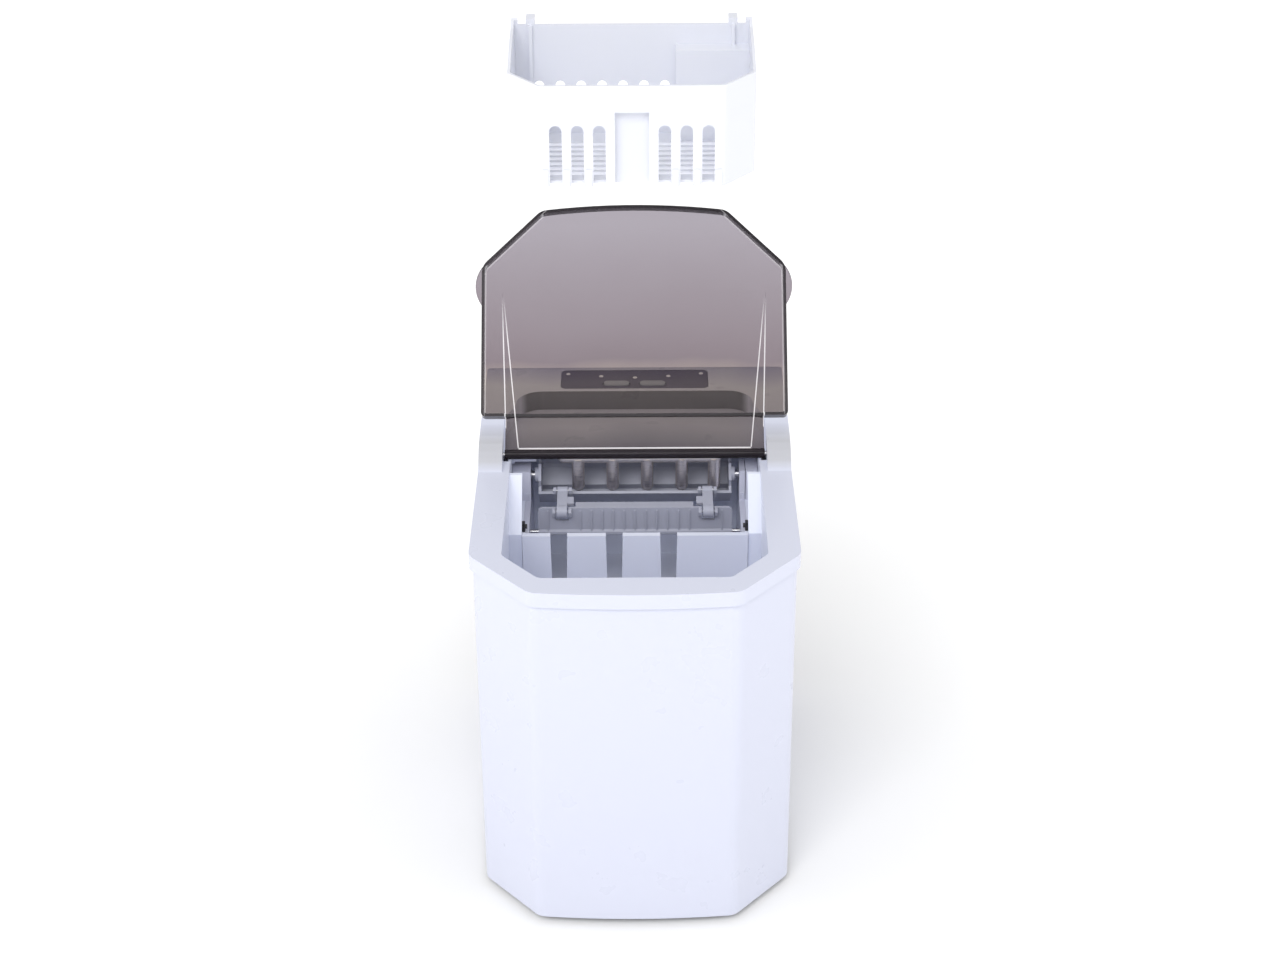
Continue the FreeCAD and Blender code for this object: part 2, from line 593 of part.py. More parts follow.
def ice_basket():
    z0 = BASKET_BOTTOM
    t = BASKET_T
    rear_top = z0 + BASKET_REAR_H
    outer = basket_outline(0.0, z0, z0 + BASKET_TIP_H)
    inner = basket_outline(t, z0 + t, z0 + BASKET_TIP_H + 5.0)
    basket = outer.cut(inner).cut(basket_rim_cutter(z0))
    # the back wall is level between the two corner tips
    tip = BASKET_HALF - 4.5
    basket = basket.cut(box(-tip, tip, BASKET_REAR - 11.5, BASKET_REAR + 3.5, rear_top, rear_top + 40.0))
    # boxed-in step at the rear right
    step_top = z0 + BASKET_STEP_H
    step = box(BASKET_STEP_X, BASKET_HALF, BASKET_STEP_Y, BASKET_REAR, z0, step_top)
    under = box(BASKET_STEP_X + t, BASKET_HALF - t, BASKET_STEP_Y + t, BASKET_REAR + 1.0, z0 - 1.0,
                step_top - t)
    basket = basket.fuse(step).cut(under)
    # hooks on the back wall that rest on the ice guard, with a rib below each
    for x, low in ((-BASKET_HOOK_X, z0 + 1.0), (BASKET_HOOK_X, step_top)):
        rib = box(x - 1.2, x + 1.2, BASKET_REAR - 5.0, BASKET_REAR - 1.0, low, rear_top)
        arm = box(x - 3.0, x + 3.0, BASKET_REAR - 2.0, GUARD_Y + 4.6, GUARD_TOP + 0.4,
                  z0 + BASKET_TIP_H)
        heel = box(x - 3.0, x + 3.0, BASKET_REAR - 2.0, BASKET_REAR, rear_top - 9.0, rear_top + 1.0)
        basket = basket.fuse(rib).fuse(arm).fuse(heel)
    # drain slots with round ends in the back wall
    for i in range(7):
        x = -63.8 + 14.4 * i
        basket = basket.cut(slot_along_z(x, z0 + 8.0, z0 + 40.0, 6.7, BASKET_REAR - 4.0, BASKET_REAR + 3.0))
    # drain slots in the front wall, three each side of the channel
    for side in (-1.0, 1.0):
        for i in range(3):
            x = 21.5 + 14.35 * i
            cut = slot_along_z(side * x, z0 - 14.0, z0 + 42.3, 8.2, BASKET_FRONT - 3.0, BASKET_FRONT + 6.0)
            basket = basket.cut(cut)
            bar = side * (x + 7.15)
            basket = basket.fuse(box(bar - 1.9, bar + 1.9, BASKET_FRONT - 1.0, BASKET_FRONT + 1.0, z0,
                                     z0 + 12.0))
    # channel pressed into the middle of the front wall
    channel_out = box(-13.2, 13.2, BASKET_FRONT + 0.5, BASKET_FRONT + 9.0, z0, z0 + 53.2)
    channel_in = box(-11.2, 11.2, BASKET_FRONT - 2.0, BASKET_FRONT + 7.0, z0 - 1.0, z0 + 51.2)
    basket = basket.fuse(channel_out).cut(channel_in)
    # slatted floor
    for i in range(7):
        y = 56.0 + 9.0 * i
        for x0, x1 in ((-70.0, -3.0), (3.0, 70.0)):
            basket = basket.cut(box(x0, x1, y, y + 5.0, z0 - 2.0, z0 + 4.0))
    return basket.removeSplitter()


# ---------------------------------------------------------------- freezing and harvest gear
def level(points):
    """Tray coordinates, measured from its tilt axis, to the design datum."""
    return [(TRAY_Y + y, TRAY_Z + z) for y, z in points]


def water_tray():
    h = TRAY_HALF
    outer = [(-16.0, 0.0), (-16.0, -24.0), (-13.0, -28.0), (-3.0, -28.0), (-1.0, -21.0),
             (12.0, -21.0), (16.2, -17.0), (16.2, 0.0)]
    inner = [(-13.8, 4.0), (-13.8, -23.4), (-12.0, -26.0), (-4.6, -26.0), (-3.0, -19.0),
             (11.4, -19.0), (14.0, -16.4), (14.0, 4.0)]
    body = side_prism(level(outer), -h, h)
    body = body.cut(side_prism(level(inner), -h + 2.2, h - 2.2))
    for side in (-1.0, 1.0):
        x0 = min(side * h, side * (h - 2.2))
        cheek = side_prism(level([(-12.0, -4.0), (-7.0, 6.0), (7.0, 6.0), (12.0, -4.0)]), x0, x0 + 2.2)
        body = body.fuse(cheek)
        stub = min(side * (h - 1.0), side * (h + 2.6))
        body = body.fuse(rod((stub, TRAY_Y, TRAY_Z), X_AXIS, 6.0, 3.6))
    # a pair of ears for each link
    ear = [(-15.0, -9.0), (-19.6, -4.0), (-21.0, 3.0), (-19.2, 10.6), (-17.4, 13.2), (-14.6, 13.0),
           (-13.4, 10.4), (-15.8, 3.0), (-15.0, -2.0)]
    for x in (-LINK_X, LINK_X):
        for x0 in (x - 7.2, x + 4.8):
            body = body.fuse(side_prism(level(ear), x0, x0 + 2.4))
    b = turned(Part.Vertex(V(0, LINK_B[0], LINK_B[1])), TRAY_Y, TRAY_Z, -TRAY_REST_DEG).Point
    for x in (-LINK_X, LINK_X):
        body = body.cut(rod((x - 10.0, b.y, b.z), X_AXIS, 1.25, 20.0))
    body = turned(body.removeSplitter(), TRAY_Y, TRAY_Z, TRAY_REST_DEG)
    for side in (-1.0, 1.0):
        x0 = min(side * (h - 3.0), side * (h + 12.0))
        body = body.cut(rod((x0, TRAY_Y, TRAY_Z), X_AXIS, 3.0, 15.0))
    return body


def tray_trunnions():
    pins = []
    for side in (-1.0, 1.0):
        x0 = min(side * (TRAY_HALF - 2.2), side * (TRAY_HALF + 13.0))
        pins.append(rod((x0, TRAY_Y, TRAY_Z), X_AXIS, 3.0, 15.2))
    return Part.makeCompound(pins)


def link_pins():
    pins = []
    for x in (-LINK_X, LINK_X):
        pins.append(rod((x - 7.6, LINK_B[0], LINK_B[1]), X_AXIS, 1.25, 15.2))
    return Part.makeCompound(pins)


def shovel_links():
    """Two straps with an eye at each end and a small wing on the inner side."""
    straps = []
    by, bz = LINK_B
    cy, cz = LINK_C
    length = math.hypot(cy - by, cz - bz)
    ty = (cy - by) / length
    tz = (cz - bz) / length
    ny = -tz
    nz = ty
    for x in (-LINK_X, LINK_X):
        x0 = x - 4.0
        strip = [(by + ny * 1.6, bz + nz * 1.6), (cy + ny * 1.6, cz + nz * 1.6),
                 (cy - ny * 1.6, cz - nz * 1.6), (by - ny * 1.6, bz - nz * 1.6)]
        bar = side_prism(strip, x0, x0 + 8.0)
        eye_b = rod((x0, by, bz), X_AXIS, 3.2, 8.0)
        eye_c = rod((x0, cy, cz), X_AXIS, 4.9, 8.0)
        inner = -1.0 if x > 0 else 1.0
        w0 = min(x + inner * 3.0, x + inner * 9.0)
        wing = [(by + ty * 9.0 + ny * 1.2, bz + tz * 9.0 + nz * 1.2),
                (by + ty * 17.0 + ny * 1.2, bz + tz * 17.0 + nz * 1.2),
                (by + ty * 17.0 - ny * 1.2, bz + tz * 17.0 - nz * 1.2),
                (by + ty * 9.0 - ny * 1.2, bz + tz * 9.0 - nz * 1.2)]
        strap = fuse_all([bar, eye_b, eye_c, side_prism(wing, w0, w0 + 6.0)])
        strap = strap.cut(rod((x0 - 2.0, by, bz), X_AXIS, 1.3, 12.0))
        strap = strap.cut(rod((x0 - 2.0, cy, cz), X_AXIS, 3.4, 12.0))
        straps.append(strap)
    return Part.makeCompound(straps)


def ice_shovel():
    h = 75.8
    plate = box(-h, h, SHOVEL_Y - 1.2, SHOVEL_Y + 1.2, SHOVEL_Z, 259.0)
    edges = []
    for edge in plate.Edges:
        a = edge.Vertexes[0].Point
        b = edge.Vertexes[-1].Point
        if abs(a.x - b.x) < 0.01 and abs(a.z - b.z) < 0.01:
            edges.append(edge)
    plate = plate.makeFillet(3.5, edges)
    shovel = plate
    flange = box(-46.5, 45.5, SHOVEL_Y - 1.2, SHOVEL_Y + 8.6, 257.0, 259.0)
    shovel = shovel.fuse(flange)
    for i in range(17):
        x = -68.0 + 8.5 * i
        if abs(abs(x) - LINK_X) < 8.0:
            continue
        shovel = shovel.fuse(box(x - 0.5, x + 0.5, SHOVEL_Y - 2.4, SHOVEL_Y, SHOVEL_Z + 2.0, 257.0))
    foot = box(-h + 5.0, h - 5.0, SHOVEL_Y - 3.2, SHOVEL_Y, SHOVEL_Z - 1.0, SHOVEL_Z + 1.0)
    shovel = shovel.fuse(foot)
    for x in (-LINK_X, LINK_X):
        shovel = shovel.cut(box(x - 4.9, x + 4.9, SHOVEL_Y - 6.0, SHOVEL_Y + 6.0, 248.0, 262.0))
        for x0 in (x - 7.4, x + 5.0):
            ear = side_prism([(SHOVEL_Y, 250.0), (LINK_C[0] - 1.5, 253.5), (LINK_C[0] - 2.5, 257.5),
                              (LINK_C[0] - 1.0, 260.0), (LINK_C[0] + 1.5, 260.0), (SHOVEL_Y, 256.5)],
                             x0, x0 + 2.4)
            shovel = shovel.fuse(ear)
        shovel = shovel.fuse(rod((x - 5.6, LINK_C[0], LINK_C[1]), X_AXIS, 1.25, 11.2))
    barrel = rod((-h, SHOVEL_Y, SHOVEL_Z), X_AXIS, 2.8, 2.0 * h)
    shovel = shovel.fuse(barrel).removeSplitter()
    for side in (-1.0, 1.0):
        x0 = min(side * 60.0, side * 78.0)
        shovel = shovel.cut(rod((x0, SHOVEL_Y, SHOVEL_Z), X_AXIS, 1.5, 18.0))
    return shovel


def shovel_pins():
    pins = []
    for side in (-1.0, 1.0):
        x0 = min(side * 60.0, side * 84.0)
        pins.append(rod((x0, SHOVEL_Y, SHOVEL_Z), X_AXIS, 1.5, 24.0))
    return Part.makeCompound(pins)


def mechanism_cheeks():
    """Two grey side frames that carry the tray trunnions and the shovel pins."""
    cheeks = []
    for side in (-1.0, 1.0):
        foot0 = min(side * (CHAMBER_HALF - 0.1), side * (CHAMBER_HALF - 4.6))
        wall = side_prism([(152.0, 190.0), (250.0, 190.0), (250.0, 249.8), (152.0, 249.8)],
                          foot0, foot0 + 4.5)
        top0 = min(side * (TRAY_HALF + 6.0), side * (OPEN_HALF - 0.4))
        tower = side_prism([(209.0, SHELF_Z + 0.05), (235.0, SHELF_Z + 0.05), (232.0, 274.0),
                            (212.0, 274.0)], top0, top0 + 14.2)
        if side > 0:
            tower = side_prism([(209.0, SHELF_Z + 0.05), (235.0, SHELF_Z + 0.05), (232.0, 274.0),
                                (212.0, 274.0)], top0, top0 + 4.5)
        web = side_prism([(209.0, 240.0), (235.0, 240.0), (235.0, 256.0), (209.0, 256.0)],
                         foot0, foot0 + 4.5)
        cheek = fuse_all([wall, web, tower])
        cheek = cheek.cut(rod((min(side * 70.0, side * 110.0), TRAY_Y, TRAY_Z), X_AXIS, 3.06, 40.0))
        cheek = cheek.cut(rod((min(side * 70.0, side * 110.0), SHOVEL_Y, SHOVEL_Z), X_AXIS, 1.56, 40.0))
        cheeks.append(cheek)
    return Part.makeCompound(cheeks)


def tray_gear_motor():
    case = box(87.4, 96.6, 209.0, 236.0, SHELF_Z + 0.05, 276.0)
    case = case.cut(rod((80.0, TRAY_Y, TRAY_Z), X_AXIS, 3.5, 10.0))
    return case


def evaporator_tube():
    points = [(-62.0, 272.0, TUBE_Z), (-62.0, 230.0, TUBE_Z), (-62.0 + 6.0, FINGER_Y, TUBE_Z),
              (64.0, FINGER_Y, TUBE_Z), (70.0, 230.0, TUBE_Z), (70.0, 272.0, TUBE_Z)]
    return bent_tube(points, 4.0)


def evaporator_fingers():
    fingers = []
    saddle = evaporator_tube()
    for x in FINGER_X:
        shank = rod((x, FINGER_Y, FINGER_Z + FINGER_R), Z_AXIS, FINGER_R, TUBE_Z - FINGER_Z - FINGER_R)
        finger = shank.fuse(ball((x, FINGER_Y, FINGER_Z + FINGER_R), FINGER_R))
        fingers.append(finger.cut(saddle).removeSplitter())
    return Part.makeCompound(fingers)


def evaporator_bracket():
    plate = box(-50.0, 60.0, 236.0, 261.9, 287.6, 290.0)
    parts = [plate]
    for x in (-30.0, 24.0):
        parts.append(box(x - 5.0, x + 5.0, 213.0, 238.0, 288.0, 290.0))
    parts.append(box(-50.0, 60.0, 260.0, 261.9, 276.0, 290.0))
    return fuse_all(parts)


def water_spout():
    spout = rod((-103.3, 224.0, 281.5), X_AXIS, 3.9, 25.3)
    flange = rod((-96.8, 224.0, 281.5), X_AXIS, 5.4, 1.6)
    bore = rod((-110.0, 224.0, 281.5), X_AXIS, 2.6, 40.0)
    return spout.fuse(flange).cut(bore)


def ice_level_eyes():
    """Light-beam sensors on the side shelves, looking across the harvest chamber."""
    eyes = []
    y0 = GUARD_Y + 19.0
    for side in (-1.0, 1.0):
        x0 = min(side * (CHAMBER_HALF - 1.8), side * (OPEN_HALF - 2.0))
        eye = box(x0, x0 + 9.8, y0, y0 + 4.8, SHELF_Z + 0.05, SHELF_Z + 7.0)
        dot0 = min(side * (CHAMBER_HALF - 3.4), side * (CHAMBER_HALF - 1.0))
        eyes.append(eye.fuse(rod((dot0, y0 + 2.4, SHELF_Z + 3.6), X_AXIS, 1.8, 2.4)))
    return Part.makeCompound(eyes)


# ---------------------------------------------------------------- water system
def water_pump():
    case = rod((55.0, 70.0, 16.0), Z_AXIS, 17.0, 30.0)
    neck = rod((55.0, 70.0, 45.0), Z_AXIS, 4.9, 17.0)
    flange = rod((55.0, 70.0, 54.0), Z_AXIS, 8.0, 3.6)
    outlet = rod((55.0, 70.0, 24.0), Y_AXIS, 4.0, 34.0)
    foot = box(35.0, 75.0, 55.0, 85.0, 2.5, 5.0)
    legs = rod((55.0, 70.0, 4.0), Z_AXIS, 9.0, 13.0)
    pump = fuse_all([case, neck, flange, outlet, foot, legs])
    chamber = rod((55.0, 70.0, 28.0), Z_AXIS, 13.0, 14.0)
    eye = rod((55.0, 70.0, 40.0), Z_AXIS, 3.2, 30.0)
    bore = rod((55.0, 92.0, 24.0), Y_AXIS, 2.6, 20.0)
    return pump.cut(chamber).cut(eye).cut(bore)


def pump_impeller():
    hub = rod((55.0, 70.0, 30.0), Z_AXIS, 4.0, 8.0)
    disc = rod((55.0, 70.0, 29.0), Z_AXIS, 11.5, 1.6)
    parts = [hub, disc]
    for i in range(6):
        blade = box(57.0, 66.0, 69.4, 70.6, 30.0, 38.0)
        blade.rotate(V(55.0, 70.0, 0.0), Z_AXIS, 60.0 * i)
        parts.append(blade)
    return fuse_all(parts)


def water_hose():
    points = [(55.0, 104.4, 24.0), (55.0, 122.0, 24.0), (-40.0, 130.0, 24.0), (-107.6, 150.0, 24.0),
              (-107.6, 224.0, 60.0), (-107.6, 224.0, 281.5)]
    return bent_tube(points, 4.2)


def drain_spout():
    pipe = rod_between((-70.0, 96.0, 30.0), (-70.0, 96.0, 62.0), 4.8)
    run = rod((-122.0 + 5.0, 96.0, 30.0), X_AXIS, 5.6, 49.0)
    elbow = ball((-70.0, 96.0, 30.0), 5.6)
    flange = rod((-BODY_HALF + SKIN + 0.2, 96.0, 30.0), X_AXIS, 11.0, 2.0)
    spout = fuse_all([pipe, run, elbow, flange])
    bore = rod((-130.0, 96.0, 30.0), X_AXIS, 3.5, 60.0)
    up = rod((-70.0, 96.0, 30.0), Z_AXIS, 3.3, 40.0)
    return spout.cut(bore).cut(up)


def drain_cap():
    head = rod((-119.8, 96.0, 30.0), X_AXIS, 7.4, 2.2)
    plug = rod((-118.0, 96.0, 30.0), X_AXIS, 3.44, 12.0)
    return head.fuse(plug)


def float_post():
    post = rod((-60.0, 60.0, TANK_FLOOR), Z_AXIS, 3.0, 62.0)
    foot = rod((-60.0, 60.0, TANK_FLOOR), Z_AXIS, 9.0, 2.0)
    stop = rod((-60.0, 60.0, TANK_FLOOR + 60.0), Z_AXIS, 5.5, 2.0)
    return fuse_all([post, foot, stop])


def float_ring():
    ring = rod((-60.0, 60.0, TANK_FLOOR + 2.4), Z_AXIS, 10.0, 16.0)
    return ring.cut(rod((-60.0, 60.0, TANK_FLOOR), Z_AXIS, 3.4, 30.0))


# ---------------------------------------------------------------- refrigeration
COMP_X = -50.0
COMP_Y = 250.0


def compressor():
    can = rod((COMP_X, COMP_Y, 26.0), Z_AXIS, 44.0, 84.0)
    dome = Part.makeSphere(44.0, V(COMP_X, COMP_Y, 0.0))
    squash = FreeCAD.Matrix()
    squash.scale(1.0, 1.0, 0.42)
    top = dome.transformGeometry(squash)
    top.translate(V(0.0, 0.0, 110.0))
    low = dome.transformGeometry(squash)
    low.translate(V(0.0, 0.0, 26.0))
    seam = rod((COMP_X, COMP_Y, 78.0), Z_AXIS, 46.4, 4.0)
    body = fuse_all([can, top, low, seam])
    plate = box(COMP_X - 50.0, COMP_X + 50.0, COMP_Y - 38.0, COMP_Y + 38.0, 11.0, 13.5)
    body = body.cut(box(-200, 200, 0, 400, -50.0, 11.0)).fuse(plate)
    for x in (COMP_X - 43.0, COMP_X + 43.0):
        for y in (COMP_Y - 31.0, COMP_Y + 31.0):
            body = body.cut(rod((x, y, 5.0), Z_AXIS, 4.6, 12.0))
    box_side = box(COMP_X + 30.0, COMP_X + 46.0, COMP_Y - 14.0, COMP_Y + 14.0, 56.0, 74.0)
    return body.fuse(box_side).removeSplitter()


def compressor_mounts():
    mounts = []
    for x in (COMP_X - 43.0, COMP_X + 43.0):
        for y in (COMP_Y - 31.0, COMP_Y + 31.0):
            low = rod((x, y, 2.4), Z_AXIS, 7.0, 8.6)
            neck = rod((x, y, 2.4), Z_AXIS, 4.5, 14.0)
            cap = rod((x, y, 13.6), Z_AXIS, 6.4, 2.6)
            grommet = low.fuse(neck).fuse(cap)
            mounts.append(grommet)
    return Part.makeCompound(mounts)


def terminal_cover():
    cover = box(COMP_X + 46.2, COMP_X + 56.0, COMP_Y - 17.0, COMP_Y + 17.0, 52.0, 76.0)
    return cover


def condenser_fins():
    fins = []
    for i in range(24):
        y = 202.0 + 4.0 * i
        fins.append(box(88.0, 110.0, y, y + 0.9, 22.0, 128.0))
    block = fins
    for z in (22.0, 126.8):
        block.append(box(88.0, 110.0, 202.0, 294.9, z, z + 1.2))
    shape = fuse_all(block)
    for i in range(5):
        z = 34.0 + 20.0 * i
        shape = shape.cut(rod((99.0, 190.0, z), Y_AXIS, 3.05, 120.0))
    return shape


def condenser_tube():
    points = [(99.0, 196.0, 34.0), (99.0, 300.0, 34.0), (99.0, 300.0, 54.0), (99.0, 197.0, 54.0),
              (99.0, 197.0, 74.0), (99.0, 300.0, 74.0), (99.0, 300.0, 94.0), (99.0, 197.0, 94.0),
              (99.0, 197.0, 114.0), (99.0, 304.0, 114.0)]
    return bent_tube(points, 3.0)


def fan_shroud():
    plate = box(62.0, 85.0, 204.0, 293.0, 24.0, 126.0)
    hole = rod((60.0, 248.5, 75.0), X_AXIS, 41.0, 30.0)
    shroud = plate.cut(hole)
    for angle in (45.0, 135.0, 225.0, 315.0):
        dy = math.cos(math.radians(angle))
        dz = math.sin(math.radians(angle))
        spoke = rod_between((65.0, 248.5 + 14.0 * dy, 75.0 + 14.0 * dz),
                            (65.0, 248.5 + 42.0 * dy, 75.0 + 42.0 * dz), 2.0)
        shroud = shroud.fuse(spoke)
    hub = rod((62.4, 248.5, 75.0), X_AXIS, 17.0, 5.6)
    shroud = shroud.fuse(hub).cut(rod((62.0, 248.5, 75.0), X_AXIS, 12.1, 6.5))
    foot = box(62.0, 85.0, 214.0, 283.0, 2.5, 25.0)
    window = box(60.0, 90.0, 224.0, 273.0, 6.0, 22.0)
    return shroud.fuse(foot.cut(window)).removeSplitter()


def fan_motor():
    can = rod((48.0, 248.5, 75.0), X_AXIS, 12.0, 20.6)
    shaft = rod((68.0, 248.5, 75.0), X_AXIS, 1.5, 9.0)
    return can.fuse(shaft)


def fan_blade():
    hub = rod((70.0, 248.5, 75.0), X_AXIS, 11.0, 11.0)
    blades = [hub]
    for i in range(5):
        blade = box(71.0, 79.6, 247.8, 249.2, 84.0, 113.0)
        blade.rotate(V(75.3, 248.5, 75.0), Z_AXIS, 32.0)
        blade.rotate(V(75.3, 248.5, 75.0), X_AXIS, 72.0 * i)
        blades.append(blade)
    fan = fuse_all(blades)
    return fan.cut(rod((66.0, 248.5, 75.0), X_AXIS, 1.55, 11.6))


def filter_drier():
    body = rod((20.0, 308.0, 40.0), Z_AXIS, 8.0, 60.0)
    top = Part.makeCone(8.0, 3.0, 10.0, V(20.0, 308.0, 100.0), Z_AXIS)
    low = Part.makeCone(3.0, 8.0, 10.0, V(20.0, 308.0, 30.0), Z_AXIS)
    return fuse_all([body, top, low])


def liquid_line():
    """From the condenser down through the drier region to its lower end."""
    points = [(99.0, 304.6, 114.0), (99.0, 308.0, 114.0), (40.0, 308.0, 118.0), (20.0, 308.0, 116.0),
              (20.0, 308.0, 110.4)]
    return bent_tube(points, 2.4)


def capillary_line():
    points = [(20.0, 308.0, 29.6), (20.0, 308.0, 22.0), (34.0, 308.0, 20.0), (34.0, 300.0, 150.0),
              (70.0, 290.0, 240.0), (70.0, 278.0, TUBE_Z), (70.0, 272.3, TUBE_Z)]
    return bent_tube(points, 1.6)


def suction_line():
    points = [(-62.0, 272.3, TUBE_Z), (-62.0, 284.0, TUBE_Z), (-62.0, 292.0, 260.0),
              (-62.0, 300.0, 150.0), (-20.0, 312.0, 110.0), (-20.0, 312.0, 96.0),
              (-20.0, 276.0, 92.0)]
    return bent_tube(points, 3.2).cut(compressor())


def discharge_line():
    points = [(-20.0, 226.0, 92.0), (-20.0, 200.0, 92.0), (-20.0, 190.0, 60.0), (40.0, 186.0, 34.0),
              (99.0, 186.0, 34.0), (99.0, 195.7, 34.0)]
    return bent_tube(points, 2.6).cut(compressor())


def hot_gas_valve():
    coil = box(14.0, 38.0, 270.0, 296.0, 190.0, 216.0)
    core = rod((26.0, 283.0, 182.0), Z_AXIS, 5.0, 46.0)
    bracket = box(22.0, 30.0, 264.4, 272.0, 196.0, 212.0)
    return fuse_all([coil, core, bracket])


def insulation_pads():
    """Foam slabs against the outside of the tank and the harvest chamber."""
    left = box(-109.0, -99.6, 66.0, 138.0, 70.0, 240.0)
    right = box(99.6, 109.0, 66.0, 138.0, 70.0, 240.0)
    under = box(-80.0, 80.0, 176.0, 250.0, 160.0, 167.4)
    return Part.makeCompound([left, right, under])


# ---------------------------------------------------------------- write the pieces
def main():
    os.makedirs("parts", exist_ok=True)
    cover = top_cover()
    panel = rear_panel()
    for post in screw_posts():
        panel = panel.fuse(post)
    basket = ice_basket()
    basket.translate(V(0, 0, BASKET_LIFT))
    lid = turned(lid_closed(), HINGE_Y, HINGE_Z, -LID_REST_DEG)
    pins = turned(hinge_pins(), HINGE_Y, HINGE_Z, -LID_REST_DEG)
    pieces = {
        "base_pan": base_pan(),
        "rubber_feet": rubber_feet(),
        "cabinet_shell": cabinet_shell(),
        "rear_panel": panel,
        "rear_screws": rear_screws(),
        "cord_gland": cord_gland(),
        "top_cover": cover,
        "control_panel": control_panel(),
        "power_key": key(KEY_X[0]),
        "select_key": key(KEY_X[1]),
        "indicator_lenses": indicator_lenses(),
        "control_board": control_board(),
        "lid": lid,
        "lid_hinge_pins": pins,
        "inner_liner": inner_liner(),
        "ice_guard": ice_guard(),
        "ice_basket": basket,
        "water_tray": water_tray(),
        "tray_trunnions": tray_trunnions(),
        "link_pins": link_pins(),
        "shovel_links": shovel_links(),
        "ice_shovel": ice_shovel(),
        "shovel_pins": shovel_pins(),
        "mechanism_cheeks": mechanism_cheeks(),
        "tray_gear_motor": tray_gear_motor(),
        "evaporator_tube": evaporator_tube(),
        "evaporator_fingers": evaporator_fingers(),
        "evaporator_bracket": evaporator_bracket(),
        "water_spout": water_spout(),
        "ice_level_eyes": ice_level_eyes(),
        "water_pump": water_pump(),
        "pump_impeller": pump_impeller(),
        "water_hose": water_hose(),
        "drain_spout": drain_spout(),
        "drain_cap": drain_cap(),
        "float_post": float_post(),
        "float_ring": float_ring(),
        "compressor": compressor(),
        "compressor_mounts": compressor_mounts(),
        "terminal_cover": terminal_cover(),
        "condenser_fins": condenser_fins(),
        "condenser_tube": condenser_tube(),
        "fan_shroud": fan_shroud(),
        "fan_motor": fan_motor(),
        "fan_blade": fan_blade(),
        "filter_drier": filter_drier(),
        "liquid_line": liquid_line(),
        "capillary_line": capillary_line(),
        "suction_line": suction_line(),
        "discharge_line": discharge_line(),
        "hot_gas_valve": hot_gas_valve(),
        "insulation_pads": insulation_pads(),
    }
    for name, shape in pieces.items():
        export(name, shape)
        print(name, shape.isValid(), len(shape.Solids), round(shape.Volume / 1000.0, 2))


main()
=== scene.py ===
import json
import math
import bpy
from mathutils import Matrix, Vector


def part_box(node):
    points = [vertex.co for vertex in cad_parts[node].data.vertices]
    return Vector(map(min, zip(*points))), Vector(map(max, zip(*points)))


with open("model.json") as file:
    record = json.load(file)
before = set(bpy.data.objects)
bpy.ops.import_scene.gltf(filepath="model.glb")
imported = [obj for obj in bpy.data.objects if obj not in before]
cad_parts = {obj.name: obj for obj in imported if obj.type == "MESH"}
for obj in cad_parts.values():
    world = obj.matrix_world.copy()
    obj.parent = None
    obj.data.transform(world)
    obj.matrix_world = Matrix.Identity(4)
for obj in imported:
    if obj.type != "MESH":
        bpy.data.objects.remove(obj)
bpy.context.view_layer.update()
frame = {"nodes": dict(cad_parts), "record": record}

# ------------------------------------------------ camera, light and floor (metres, degrees, watts)
CAMERA_PLACE = (0.004, -1.5814, 1.1737)
CAMERA_ELEVATION = 29.005
CAMERA_ROLL = -0.309
CAMERA_LENS = 66.2
SKY_STRENGTH = 0.70
LIGHT_AIM = (0.0, 0.0, 0.2)
KEY_PLACE = (-0.7, -2.9, 3.3)
KEY_SIZE = (2.6, 1.8)
KEY_POWER = 76.0
FILL_PLACE = (2.0, -0.5, 1.0)
FILL_SIZE = (1.2, 1.2)
FILL_POWER = 6.0
FLOOR_SIZE = 40.0
FLOOR_DROP = 0.0002
FLOOR_GLOW_FROM = 0.15
FLOOR_GLOW_TO = 0.9
FLOOR_GLOW = 0.34

# ------------------------------------------------ lid (metres from its middle and from its hinge)
LID_OPEN = 129.0
LID_SHEET_OFFSET = 0.0105
LID_REACH = 0.19
WALL_FACING = (0.35, 0.60)
LIP_DEPTH = (0.0094, 0.0099)
RIB_REACH = 0.0315
RIB_HALF = (0.0010, 0.0016)
DARKEST = 0.93
# painted highlight lines on the lid: its creases, the middle panel's foot and the sheet's border
CREASE_REACH = 0.132
CREASE_HALF = (0.0002, 0.0006)
PANEL_FOOT = 0.0050
FOOT_HALF = (0.00025, 0.0007)
# half spacing at the hinge, half spacing at the front, start from the hinge, strength
CREASES = ((0.1006, 0.1046, 0.022, 0.85), (0.0905, 0.1038, PANEL_FOOT, 0.75))
SHEET_HALF = 0.1176
BORDER_HALF = (0.0001, 0.0005)
CORNER_SLANT = (math.sin(math.radians(43.9)), math.cos(math.radians(43.9)))
CORNER_REACH = 0.1902
# tint of the sheet from the hinge to the front
LID_TINTS = (
    (0.0, (0.430, 0.402, 0.395)),
    (0.12, (0.590, 0.545, 0.510)),
    (0.29, (0.638, 0.589, 0.547)),
    (0.40, (0.505, 0.463, 0.488)),
    (1.0, (0.620, 0.596, 0.630)),
)

# ------------------------------------------------ cover
CABINET_WHITE = (0.670, 0.693, 0.815)
# painted shade on the cover's shoulders beside the lid: its grey, and the height and depth it covers
SHOULDER_PAINTED_SHADE = (0.510, 0.515, 0.555)
SHOULDER_BELOW_TOP = (0.0170, 0.0110)
SHOULDER_BACK = (0.034, 0.060)
# painted shade on the pocket's rear wall: its dark colour, and the depth and facing it covers
POCKET_PAINTED_SHADE = (0.237, 0.244, 0.275)
POCKET_BACK = (0.085, 0.095)
POCKET_FACING = (0.5, 0.8)


# ------------------------------------------------ material helpers
def new_material(name):
    """An empty node material with its Principled shader."""
    mat = bpy.data.materials.new(name)
    mat.use_nodes = True
    tree = mat.node_tree
    shader = tree.nodes["Principled BSDF"]
    return mat, tree, shader


